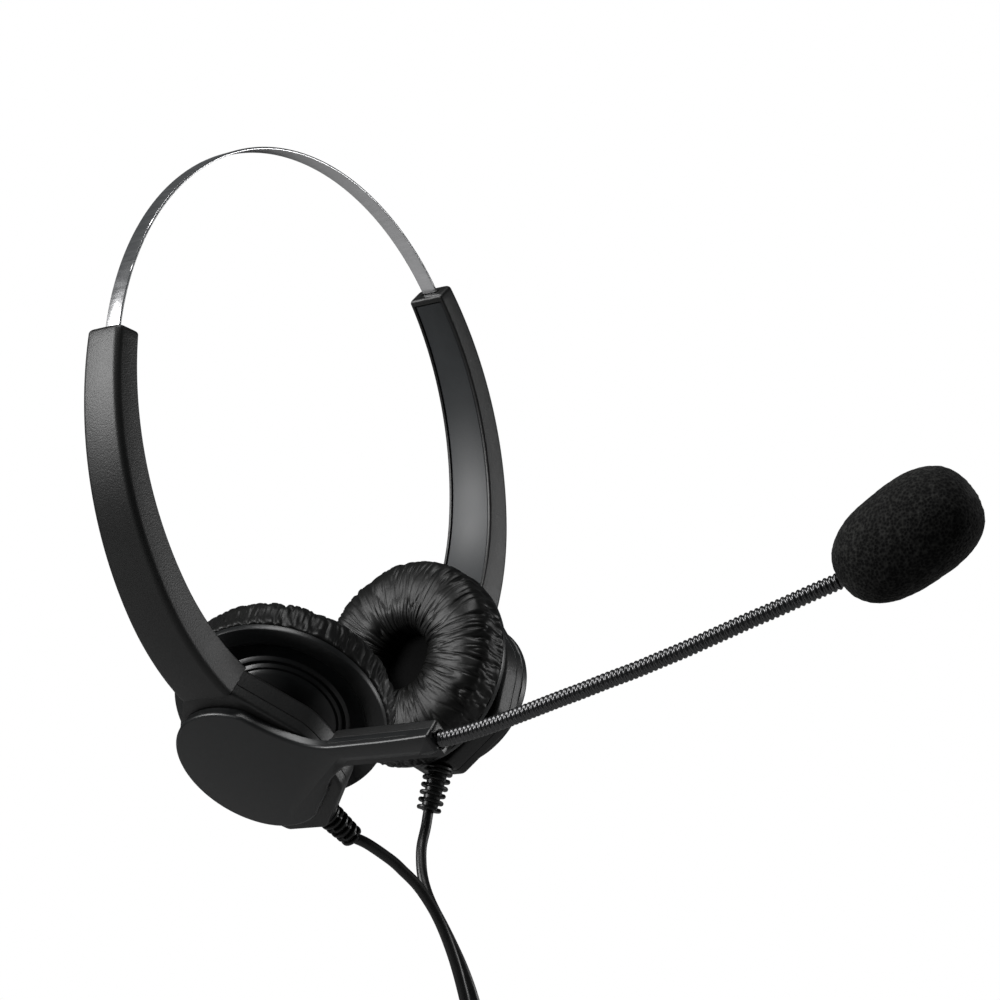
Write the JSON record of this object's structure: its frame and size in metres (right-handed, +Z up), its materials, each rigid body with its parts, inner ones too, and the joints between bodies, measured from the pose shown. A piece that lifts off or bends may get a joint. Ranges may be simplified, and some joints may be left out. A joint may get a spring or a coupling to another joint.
{
  "type": "office headset",
  "caption": "Wired two-ear office headset with a steel band, sliding arms, tilting ear cups and a swivelling gooseneck microphone boom.",
  "frame": {"origin": "inner face of the steel band at the crown, on the middle plane, where the band rests on the head", "axes": "+X is the wearer's forward (the boom points along it), +Y is the wearer's left, +Z is up"},
  "size_m": [0.2208, 0.1514, 0.3645],
  "materials": {
    "spring_steel": "bright rolled spring steel",
    "black_shell": "fine-grained black ABS",
    "satin_cover": "satin blue-black plastic",
    "screw_steel": "zinc-plated steel",
    "rubber_black": "soft black PVC and rubber",
    "gooseneck_steel": "gloss black coiled steel",
    "foam_black": "open-cell black foam",
    "leatherette": "wrinkled black leatherette",
    "scrim_cloth": "black acoustic cloth",
    "nylon_natural": "natural nylon",
    "speaker_frame": "speaker frame and magnet",
    "clear_plug": "clear polycarbonate",
    "contact_gold": "gold-plated contacts"
  },
  "bodies": {
    "headband": {"steel_band": "spring_steel", "band_stops": "screw_steel", "y_splitter": "rubber_black", "main_cord": "rubber_black", "cord_hank": "rubber_black", "cord_tie": "scrim_cloth", "plug_body": "clear_plug", "plug_contacts": "contact_gold"},
    "arm_right": {"arm_shell_right": "black_shell", "arm_cover_right": "satin_cover", "band_grip_right": "rubber_black", "hub_front_right": "black_shell", "hub_back_right": "black_shell", "hub_screws_right": "screw_steel", "ball_stud_right": "screw_steel", "strain_relief_right": "rubber_black", "lead_right": "rubber_black"},
    "arm_left": {"arm_shell_left": "black_shell", "arm_cover_left": "satin_cover", "band_grip_left": "rubber_black", "hub_front_left": "black_shell", "hub_back_left": "black_shell", "hub_cap_left": "satin_cover", "hub_screws_left": "screw_steel", "ball_stud_left": "screw_steel", "strain_relief_left": "rubber_black", "lead_left": "rubber_black"},
    "boom": {"boom_hub": "satin_cover", "boom_back": "black_shell", "boom_washer": "screw_steel", "boom_screw": "screw_steel", "gooseneck_ferrule": "rubber_black"},
    "gooseneck": {"gooseneck": "gooseneck_steel"},
    "microphone": {"mic_holder": "rubber_black", "mic_capsule": "speaker_frame", "foam_windscreen": "foam_black"},
    "seat_right": {"ball_seat_right": "nylon_natural"},
    "seat_left": {"ball_seat_left": "nylon_natural"},
    "cup_right": {"cup_housing_right": "satin_cover", "baffle_right": "black_shell", "speaker_right": "speaker_frame", "scrim_right": "scrim_cloth", "cup_screws_right": "screw_steel", "ear_cushion_right": "leatherette"},
    "cup_left": {"cup_housing_left": "satin_cover", "baffle_left": "black_shell", "speaker_left": "speaker_frame", "scrim_left": "scrim_cloth", "cup_screws_left": "screw_steel", "ear_cushion_left": "leatherette"}
  },
  "joints": [
    {"name": "slide_right", "type": "hinge", "parent": "headband", "child": "arm_right", "pos_m": [0, 0, -0.07], "axis": [1, 0, 0], "range_deg": [-15, 0], "deforming": ["lead_right"]},
    {"name": "slide_left", "type": "hinge", "parent": "headband", "child": "arm_left", "pos_m": [0, 0, -0.07], "axis": [-1, 0, 0], "range_deg": [-15, 0], "deforming": ["lead_left"]},
    {"name": "boom_swivel", "type": "hinge", "parent": "arm_right", "child": "boom", "pos_m": [0, -0.0459, -0.1516], "axis": [0, -0.829, -0.5592], "range_deg": [-70, 55]},
    {"name": "gooseneck_lift", "type": "hinge", "parent": "boom", "child": "gooseneck", "pos_m": [0.091, -0.0432, -0.1423], "axis": [0, -1, 0], "range_deg": [-45, 45], "deforming": ["gooseneck"]},
    {"name": "gooseneck_reach", "type": "hinge", "parent": "gooseneck", "child": "microphone", "pos_m": [0.129, -0.037, -0.1333], "axis": [0, 0, 1], "range_deg": [-45, 45]},
    {"name": "cup_nod_right", "type": "hinge", "parent": "arm_right", "child": "seat_right", "pos_m": [0, -0.03432, -0.14319], "axis": [1, 0, 0], "range_deg": [-7, 13]},
    {"name": "cup_turn_right", "type": "hinge", "parent": "seat_right", "child": "cup_right", "pos_m": [0, -0.03432, -0.14319], "axis": [0, -0.515, 0.8572], "range_deg": [-26, 2]},
    {"name": "cup_nod_left", "type": "hinge", "parent": "arm_left", "child": "seat_left", "pos_m": [0, 0.03432, -0.14319], "axis": [-1, 0, 0], "range_deg": [-4.5, 15.5]},
    {"name": "cup_turn_left", "type": "hinge", "parent": "seat_left", "child": "cup_left", "pos_m": [0, 0.03432, -0.14319], "axis": [0, -0.4772, -0.8788], "range_deg": [-14, 14]}
  ]
}
